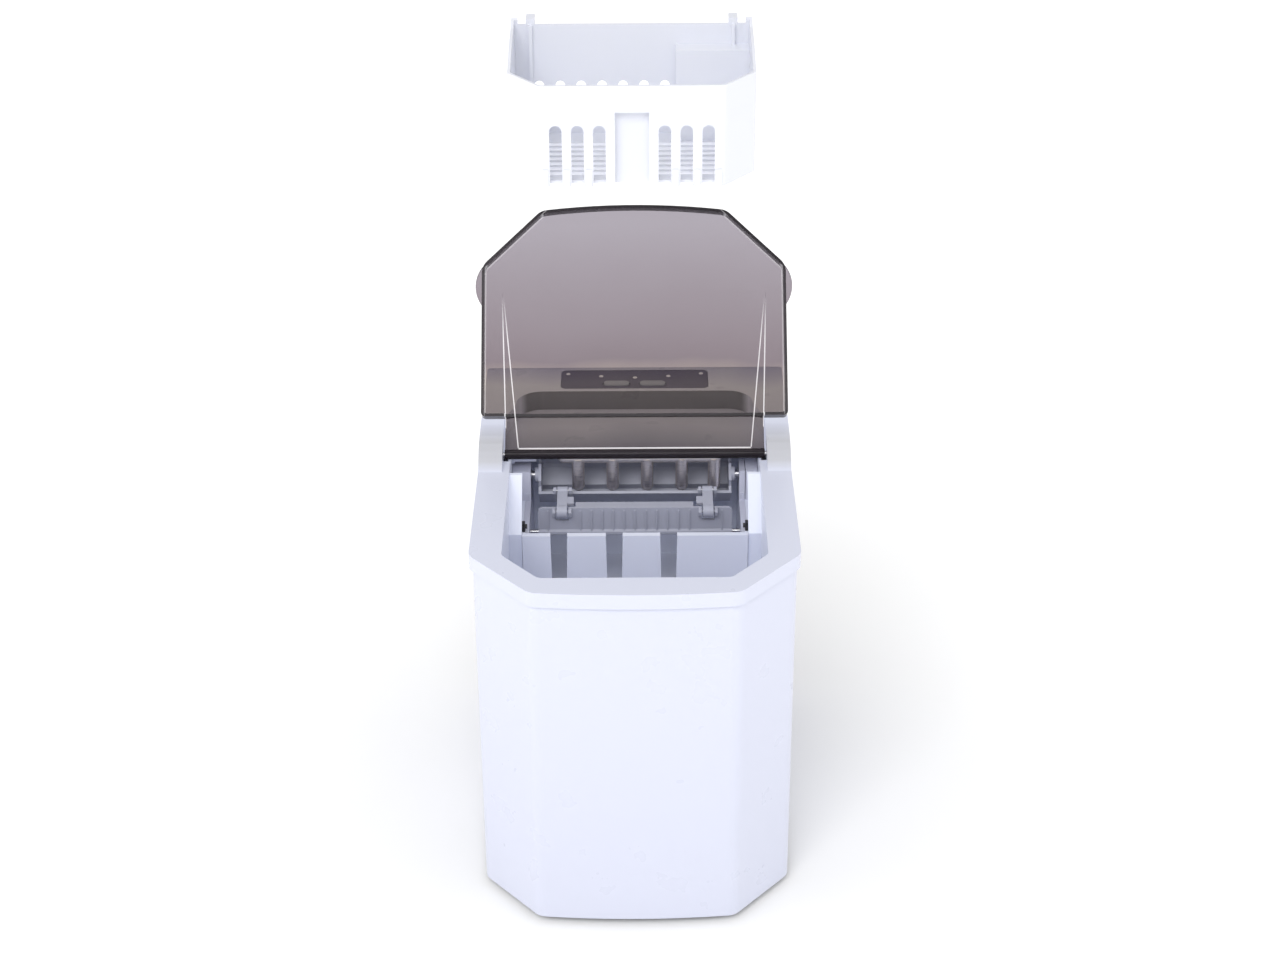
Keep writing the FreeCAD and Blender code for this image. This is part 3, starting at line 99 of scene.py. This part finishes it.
def object_noise(tree, scale, stretch=(1.0, 1.0, 1.0), detail=3.0):
    """Noise in the object's own metres."""
    coords = tree.nodes.new("ShaderNodeTexCoord")
    mapping = tree.nodes.new("ShaderNodeMapping")
    mapping.inputs["Scale"].default_value = stretch
    noise = tree.nodes.new("ShaderNodeTexNoise")
    noise.inputs["Scale"].default_value = scale
    noise.inputs["Detail"].default_value = detail
    tree.links.new(coords.outputs["Object"], mapping.inputs["Vector"])
    tree.links.new(mapping.outputs["Vector"], noise.inputs["Vector"])
    return noise.outputs["Fac"]


def between(tree, fac, low, high):
    """A 0 to 1 value spread over low to high."""
    node = tree.nodes.new("ShaderNodeMapRange")
    node.inputs["From Min"].default_value = 0.3
    node.inputs["From Max"].default_value = 0.7
    node.inputs["To Min"].default_value = low
    node.inputs["To Max"].default_value = high
    tree.links.new(fac, node.inputs["Value"])
    return node.outputs["Result"]


def two_tone(tree, fac, first, second):
    """A colour that drifts between two tones."""
    ramp = tree.nodes.new("ShaderNodeValToRGB")
    ramp.color_ramp.elements[0].position = 0.35
    ramp.color_ramp.elements[0].color = (*first, 1.0)
    ramp.color_ramp.elements[1].position = 0.65
    ramp.color_ramp.elements[1].color = (*second, 1.0)
    tree.links.new(fac, ramp.inputs["Fac"])
    return ramp.outputs["Color"]


def relief(tree, shader, height, depth, strength):
    """Fine relief from a height value."""
    bump = tree.nodes.new("ShaderNodeBump")
    bump.inputs["Distance"].default_value = depth
    bump.inputs["Strength"].default_value = strength
    tree.links.new(height, bump.inputs["Height"])
    tree.links.new(bump.outputs["Normal"], shader.inputs["Normal"])


def shaded(colour, amount):
    """A colour made lighter or darker."""
    return tuple(max(0.0, min(1.0, c * amount)) for c in colour)


def moulded(name, colour, rough, grain=300.0, depth=0.00003, drift=0.998, coat=0.0, glow=0.0):
    """Moulded plastic or enamel: faint flow tone, uneven gloss and a fine skin."""
    mat, tree, shader = new_material(name)
    wide = object_noise(tree, 9.0)
    tone = two_tone(tree, wide, shaded(colour, drift), colour)
    tree.links.new(tone, shader.inputs["Base Color"])
    gloss = object_noise(tree, 40.0)
    tree.links.new(between(tree, gloss, rough * 0.97, rough * 1.03), shader.inputs["Roughness"])
    skin = object_noise(tree, grain)
    relief(tree, shader, skin, depth, 0.025)
    shader.inputs["IOR"].default_value = 1.48
    if coat:
        shader.inputs["Coat Weight"].default_value = coat
        shader.inputs["Coat Roughness"].default_value = 0.08
    if glow:
        shader.inputs["Subsurface Weight"].default_value = glow
        shader.inputs["Subsurface Radius"].default_value = (0.01, 0.01, 0.012)
        shader.inputs["Subsurface Scale"].default_value = 0.3
    return mat


def metal(name, colour, rough, stretch=(1.0, 1.0, 30.0), depth=0.00003):
    """Drawn or plated metal with streaks along one direction."""
    mat, tree, shader = new_material(name)
    streak = object_noise(tree, 120.0, stretch)
    tree.links.new(two_tone(tree, streak, shaded(colour, 0.86), colour), shader.inputs["Base Color"])
    tree.links.new(between(tree, streak, rough * 0.75, rough * 1.3), shader.inputs["Roughness"])
    relief(tree, shader, streak, depth, 0.2)
    shader.inputs["Metallic"].default_value = 1.0
    return mat


def rubber(name, colour):
    """Soft rubber or hose with a dusty tone."""
    mat, tree, shader = new_material(name)
    dust = object_noise(tree, 60.0)
    tree.links.new(two_tone(tree, dust, colour, shaded(colour, 1.5)), shader.inputs["Base Color"])
    tree.links.new(between(tree, dust, 0.62, 0.82), shader.inputs["Roughness"])
    relief(tree, shader, object_noise(tree, 1800.0), 0.00008, 0.4)
    return mat


def math_node(tree, operation, first, second=None, clamp=False):
    """A Math node; each operand is a socket or a number."""
    node = tree.nodes.new("ShaderNodeMath")
    node.operation = operation
    node.use_clamp = clamp
    for slot, value in enumerate((first, second)):
        if value is None:
            continue
        if isinstance(value, (int, float)):
            node.inputs[slot].default_value = value
        else:
            tree.links.new(value, node.inputs[slot])
    return node.outputs["Value"]


def along(tree, vector, direction):
    """How far a vector reaches along a fixed direction."""
    dot = tree.nodes.new("ShaderNodeVectorMath")
    dot.operation = "DOT_PRODUCT"
    dot.inputs[1].default_value = direction
    tree.links.new(vector, dot.inputs[0])
    return dot.outputs["Value"]


def step_up(tree, value, start, end, low=0.0, high=1.0):
    """Low before start, high after end."""
    node = tree.nodes.new("ShaderNodeMapRange")
    node.inputs["From Min"].default_value = start
    node.inputs["From Max"].default_value = end
    node.inputs["To Min"].default_value = low
    node.inputs["To Max"].default_value = high
    tree.links.new(value, node.inputs["Value"])
    return node.outputs["Result"]


def line_mask(tree, distance, half):
    """One on a line, falling to nothing from the first to the second half width."""
    return step_up(tree, math_node(tree, "ABSOLUTE", distance), half[0], half[1], 1.0, 0.0)


def glint_mask(tree, across, reach):
    """Thin lines where the lid's bends catch the light: two creases on each side, the foot of the
    middle panel, and the corner between the sheet and the skirt."""
    lines = []
    for at_hinge, at_front, start, strength in CREASES:
        slope = (at_front - at_hinge) / CREASE_REACH
        line = math_node(tree, "ADD", math_node(tree, "MULTIPLY", reach, slope), at_hinge)
        crease = line_mask(tree, math_node(tree, "SUBTRACT", across, line), CREASE_HALF)
        fade = step_up(tree, reach, CREASE_REACH * 0.70, CREASE_REACH * 0.98, strength, 0.0)
        fade = math_node(tree, "MULTIPLY", fade, step_up(tree, reach, start, start + 0.001))
        lines.append(math_node(tree, "MULTIPLY", crease, fade))
    foot = line_mask(tree, math_node(tree, "SUBTRACT", reach, PANEL_FOOT), FOOT_HALF)
    inside = step_up(tree, across, CREASES[1][0], CREASES[1][0] + 0.0004, 0.8, 0.0)
    lines.append(math_node(tree, "MULTIPLY", foot, inside))
    # distance beyond the sheet's straight sides and slanted corners
    slant = math_node(tree, "ADD", math_node(tree, "MULTIPLY", across, CORNER_SLANT[0]),
                      math_node(tree, "MULTIPLY", reach, CORNER_SLANT[1]))
    border = math_node(tree, "MAXIMUM", math_node(tree, "SUBTRACT", across, SHEET_HALF),
                       math_node(tree, "SUBTRACT", slant, CORNER_REACH))
    past_rib = step_up(tree, reach, 0.030, 0.034, 0.0, 0.32)
    lines.append(math_node(tree, "MULTIPLY", line_mask(tree, border, BORDER_HALF), past_rib))
    total = lines[0]
    for line in lines[1:]:
        total = math_node(tree, "MAXIMUM", total, line)
    return total


def smoked(name):
    """Clear smoky plastic.  Light runs far inside the skirt, the hinge bead and the cross rib, so
    they look nearly black, while the flat sheet only dims what is behind it."""
    mat, tree, shader = new_material(name)
    lean = math.radians(LID_OPEN)
    outward = Vector((0.0, math.sin(lean), math.cos(lean)))
    upward = Vector((0.0, -math.cos(lean), math.sin(lean)))
    low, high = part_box("lid_hinge_pins")
    hinge = Vector((0.0, (low.y + high.y) / 2.0, (low.z + high.z) / 2.0))
    coords = tree.nodes.new("ShaderNodeTexCoord")
    depth = math_node(tree, "SUBTRACT", hinge.dot(outward) + LID_SHEET_OFFSET,
                      along(tree, coords.outputs["Object"], outward))
    reach = math_node(tree, "SUBTRACT", along(tree, coords.outputs["Object"], upward),
                      hinge.dot(upward))
    facing = math_node(tree, "ABSOLUTE", along(tree, coords.outputs["Normal"], outward))
    wall = step_up(tree, facing, *WALL_FACING, 1.0, 0.0)
    lip = step_up(tree, depth, *LIP_DEPTH)
    rib = line_mask(tree, math_node(tree, "SUBTRACT", reach, RIB_REACH), RIB_HALF)
    dark = math_node(tree, "MAXIMUM", math_node(tree, "MAXIMUM", wall, lip), rib)
    across = math_node(tree, "ABSOLUTE", along(tree, coords.outputs["Object"], (1.0, 0.0, 0.0)))
    glint = glint_mask(tree, across, reach)
    ramp = tree.nodes.new("ShaderNodeValToRGB")
    tints = ramp.color_ramp.elements
    tints[0].color = (*LID_TINTS[0][1], 1.0)
    tints[1].color = (*LID_TINTS[-1][1], 1.0)
    for place, tint in LID_TINTS[1:-1]:
        tints.new(place).color = (*tint, 1.0)
    cloud = object_noise(tree, 7.0)
    drift = math_node(tree, "MULTIPLY", math_node(tree, "SUBTRACT", cloud, 0.5), 0.2)
    height = math_node(tree, "ADD", step_up(tree, reach, 0.0, LID_REACH), drift, clamp=True)
    tree.links.new(height, ramp.inputs["Fac"])
    through = tree.nodes.new("ShaderNodeBsdfTransparent")
    tree.links.new(ramp.outputs["Color"], through.inputs["Color"])
    shader.inputs["Base Color"].default_value = (0.022, 0.018, 0.022, 1.0)
    shader.inputs["IOR"].default_value = 1.49
    shader.inputs["Specular IOR Level"].default_value = 0.12
    haze = between(tree, object_noise(tree, 25.0), 0.14, 0.20)
    tree.links.new(haze, shader.inputs["Roughness"])
    weight = tree.nodes.new("ShaderNodeLayerWeight")
    weight.inputs["Blend"].default_value = 0.25
    gloss = math_node(tree, "MULTIPLY", weight.outputs["Fresnel"], 0.55)
    solid = math_node(tree, "MAXIMUM", gloss, math_node(tree, "MULTIPLY", dark, DARKEST))
    mix = tree.nodes.new("ShaderNodeMixShader")
    tree.links.new(solid, mix.inputs["Fac"])
    tree.links.new(through.outputs["BSDF"], mix.inputs[1])
    tree.links.new(shader.outputs["BSDF"], mix.inputs[2])
    # painted highlights: a pale diffuse shader laid along the glint lines
    spark = tree.nodes.new("ShaderNodeBsdfDiffuse")
    spark.inputs["Color"].default_value = (0.90, 0.88, 0.90, 1.0)
    lined = tree.nodes.new("ShaderNodeMixShader")
    tree.links.new(glint, lined.inputs["Fac"])
    tree.links.new(mix.outputs["Shader"], lined.inputs[1])
    tree.links.new(spark.outputs["BSDF"], lined.inputs[2])
    # lamps and bounced light reach what is behind the lid
    path = tree.nodes.new("ShaderNodeLightPath")
    passing = math_node(tree, "MAXIMUM", path.outputs["Is Shadow Ray"],
                        path.outputs["Is Diffuse Ray"])
    clear = tree.nodes.new("ShaderNodeBsdfTransparent")
    lit = tree.nodes.new("ShaderNodeMixShader")
    tree.links.new(passing, lit.inputs["Fac"])
    tree.links.new(lined.outputs["Shader"], lit.inputs[1])
    tree.links.new(clear.outputs["BSDF"], lit.inputs[2])
    tree.links.new(lit.outputs["Shader"], tree.nodes["Material Output"].inputs["Surface"])
    return mat


def cover_white(name):
    """The cover in the cabinet's white, with painted shade on the shoulders and the pocket's rear
    wall.
    """
    mat = moulded(name, CABINET_WHITE, 0.28, coat=0.15)
    tree = mat.node_tree
    shader = tree.nodes["Principled BSDF"]
    cool = shader.inputs["Base Color"].links[0].from_socket
    coords = tree.nodes.new("ShaderNodeTexCoord")
    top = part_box("top_cover")[1].z
    height = along(tree, coords.outputs["Object"], (0.0, 0.0, 1.0))
    back = along(tree, coords.outputs["Object"], (0.0, 1.0, 0.0))
    start, end = (top - below for below in SHOULDER_BELOW_TOP)
    # painted shade: the shoulders beside the lid turn grey
    shoulder_shade_mask = math_node(tree, "MULTIPLY", step_up(tree, height, start, end),
                     step_up(tree, back, *SHOULDER_BACK, 1.0, 0.0))
    # painted shade: the pocket's rear wall is darkened, as it lies in the shade of the closed-in
    # deck
    facing_front = along(tree, coords.outputs["Normal"], (0.0, -1.0, 0.0))
    shade = math_node(tree, "MULTIPLY", step_up(tree, facing_front, *POCKET_FACING),
                      step_up(tree, back, *POCKET_BACK))
    # the painted shades are laid over the cabinet white
    colour = cool
    for amount, tone in ((shoulder_shade_mask, SHOULDER_PAINTED_SHADE), (shade, POCKET_PAINTED_SHADE)):
        mix = tree.nodes.new("ShaderNodeMix")
        mix.data_type = "RGBA"
        tree.links.new(amount, mix.inputs["Factor"])
        tree.links.new(colour, mix.inputs[6])
        mix.inputs[7].default_value = (*tone, 1.0)
        colour = mix.outputs[2]
    tree.links.new(colour, shader.inputs["Base Color"])
    return mat


def circuit(name):
    """Green board with a grid of tracks."""
    mat, tree, shader = new_material(name)
    coords = tree.nodes.new("ShaderNodeTexCoord")
    brick = tree.nodes.new("ShaderNodeTexBrick")
    brick.inputs["Scale"].default_value = 160.0
    brick.inputs["Color1"].default_value = (0.03, 0.22, 0.09, 1.0)
    brick.inputs["Color2"].default_value = (0.04, 0.28, 0.12, 1.0)
    brick.inputs["Mortar"].default_value = (0.35, 0.42, 0.20, 1.0)
    brick.inputs["Mortar Size"].default_value = 0.02
    tree.links.new(coords.outputs["Object"], brick.inputs["Vector"])
    tree.links.new(brick.outputs["Color"], shader.inputs["Base Color"])
    shader.inputs["Roughness"].default_value = 0.4
    return mat


def lit_lens(name):
    """Milky indicator lens with a weak glow."""
    mat, tree, shader = new_material(name)
    cloud = object_noise(tree, 400.0)
    milk = two_tone(tree, cloud, (0.72, 0.74, 0.78), (0.86, 0.88, 0.92))
    tree.links.new(milk, shader.inputs["Base Color"])
    shader.inputs["Roughness"].default_value = 0.2
    shader.inputs["Emission Color"].default_value = (0.9, 0.93, 1.0, 1.0)
    shader.inputs["Emission Strength"].default_value = 0.25
    return mat


def make_materials():
    """One material for each of the record's slots."""
    return {
        "white_gloss": moulded("white_gloss", CABINET_WHITE, 0.28, coat=0.15),
        "white_inner": moulded("white_inner", (0.80, 0.83, 0.95), 0.30, coat=0.1),
        "basket_white": moulded("basket_white", (0.76, 0.775, 0.84), 0.30, glow=0.10),
        "guard_white": moulded("guard_white", (0.72, 0.745, 0.86), 0.42),
        "smoke_clear": smoked("smoke_clear"),
        "pin_steel": metal("pin_steel", (0.56, 0.56, 0.58), 0.30, (30.0, 1.0, 1.0)),
        "tray_grey": moulded("tray_grey", (0.41, 0.42, 0.50), 0.48, grain=1400.0, depth=0.00008),
        "cheek_grey": moulded("cheek_grey", (0.60, 0.61, 0.72), 0.45, grain=1400.0, depth=0.00008),
        "nickel": metal("nickel", (0.80, 0.74, 0.71), 0.33),
        "panel_dark": moulded("panel_dark", (0.185, 0.183, 0.270), 0.40, coat=0.1),
        "key_grey": moulded("key_grey", (0.415, 0.444, 0.531), 0.35),
        "lens_white": lit_lens("lens_white"),
        "board_green": circuit("board_green"),
        "black_rubber": rubber("black_rubber", (0.03, 0.03, 0.033)),
        "hose_clear": rubber("hose_clear", (0.55, 0.56, 0.54)),
        "pump_black": moulded("pump_black", (0.035, 0.035, 0.04), 0.45),
        "pan_grey": moulded("pan_grey", (0.34, 0.35, 0.37), 0.5),
        "comp_black": moulded("comp_black", (0.018, 0.018, 0.02), 0.35, grain=500.0, depth=0.0001),
        "copper": metal("copper", (0.86, 0.44, 0.27), 0.28),
        "fin_alu": metal("fin_alu", (0.80, 0.81, 0.82), 0.35, (1.0, 20.0, 1.0)),
        "valve_blue": moulded("valve_blue", (0.03, 0.07, 0.22), 0.4),
        "foam_pale": moulded("foam_pale", (0.70, 0.67, 0.58), 0.85, grain=700.0, depth=0.0004),
        "screw_zinc": metal("screw_zinc", (0.62, 0.62, 0.60), 0.32),
    }


MATERIALS = make_materials()


def paint_frame():
    """Every CAD node takes the material of its slot and soft normals across small angles."""
    for row in frame["record"]["subparts"]:
        piece = frame["nodes"][row["node"]]
        piece.data.materials.clear()
        piece.data.materials.append(MATERIALS[row["material_slot"]])
        for face in piece.data.polygons:
            face.material_index = 0
        piece.data.set_sharp_from_angle(angle=math.radians(28.0))


def finish_cover():
    """The cover keeps the cabinet's plastic, with painted shade on its shoulders and on the pocket's
    rear wall.
    """
    frame["nodes"]["top_cover"].data.materials[0] = cover_white("cover_white")


paint_frame()
finish_cover()


# ------------------------------------------------ floor, light, camera
def make_floor():
    """Pale floor that brightens away from the ice maker."""
    bpy.ops.mesh.primitive_plane_add(size=FLOOR_SIZE, location=(0.0, 0.0, -FLOOR_DROP))
    floor = bpy.context.object
    floor.name = "studio_floor"
    mat, tree, shader = new_material("studio_floor")
    cloud = object_noise(tree, 2.0)
    paint = two_tone(tree, cloud, (0.94, 0.94, 0.94), (0.95, 0.95, 0.95))
    tree.links.new(paint, shader.inputs["Base Color"])
    shader.inputs["Roughness"].default_value = 0.7
    shader.inputs["Specular IOR Level"].default_value = 0.1
    shader.inputs["Emission Color"].default_value = (1.0, 1.0, 1.0, 1.0)
    coords = tree.nodes.new("ShaderNodeTexCoord")
    away = tree.nodes.new("ShaderNodeVectorMath")
    away.operation = "LENGTH"
    tree.links.new(coords.outputs["Object"], away.inputs[0])
    glow = step_up(tree, away.outputs["Value"], FLOOR_GLOW_FROM, FLOOR_GLOW_TO, 0.0, FLOOR_GLOW)
    tree.links.new(glow, shader.inputs["Emission Strength"])
    floor.data.materials.append(mat)


def area_light(name, place, size, power):
    """Soft box turned towards the ice maker."""
    data = bpy.data.lights.new(name, "AREA")
    data.shape = "RECTANGLE"
    data.size = size[0]
    data.size_y = size[1]
    data.energy = power
    light = bpy.data.objects.new(name, data)
    light.location = place
    direction = Vector(LIGHT_AIM) - Vector(place)
    light.rotation_euler = direction.to_track_quat("-Z", "Y").to_euler()
    bpy.context.scene.collection.objects.link(light)


def make_light():
    """White surround, a large lamp in front and a small one on each side."""
    world = bpy.data.worlds.new("studio")
    world.use_nodes = True
    sky = world.node_tree.nodes["Background"]
    sky.inputs["Color"].default_value = (1.0, 1.0, 1.0, 1.0)
    sky.inputs["Strength"].default_value = SKY_STRENGTH
    bpy.context.scene.world = world
    area_light("front_softbox", KEY_PLACE, KEY_SIZE, KEY_POWER)
    for side in (-1.0, 1.0):
        x, y, z = FILL_PLACE
        area_light("side_fill", (side * x, y, z), FILL_SIZE, FILL_POWER)


def make_camera():
    """Camera in front of the ice maker, looking down at it."""
    data = bpy.data.cameras.new("camera")
    data.lens = CAMERA_LENS
    data.sensor_width = 36.0
    camera = bpy.data.objects.new("camera", data)
    camera.location = CAMERA_PLACE
    tilt = Matrix.Rotation(math.radians(90.0 - CAMERA_ELEVATION), 3, "X")
    roll = Matrix.Rotation(math.radians(CAMERA_ROLL), 3, "Z")
    camera.rotation_euler = (tilt @ roll).to_euler()
    bpy.context.scene.collection.objects.link(camera)
    bpy.context.scene.camera = camera
    bpy.context.scene.view_settings.view_transform = "Standard"


make_floor()
make_light()
make_camera()

bpy.context.view_layer.update()
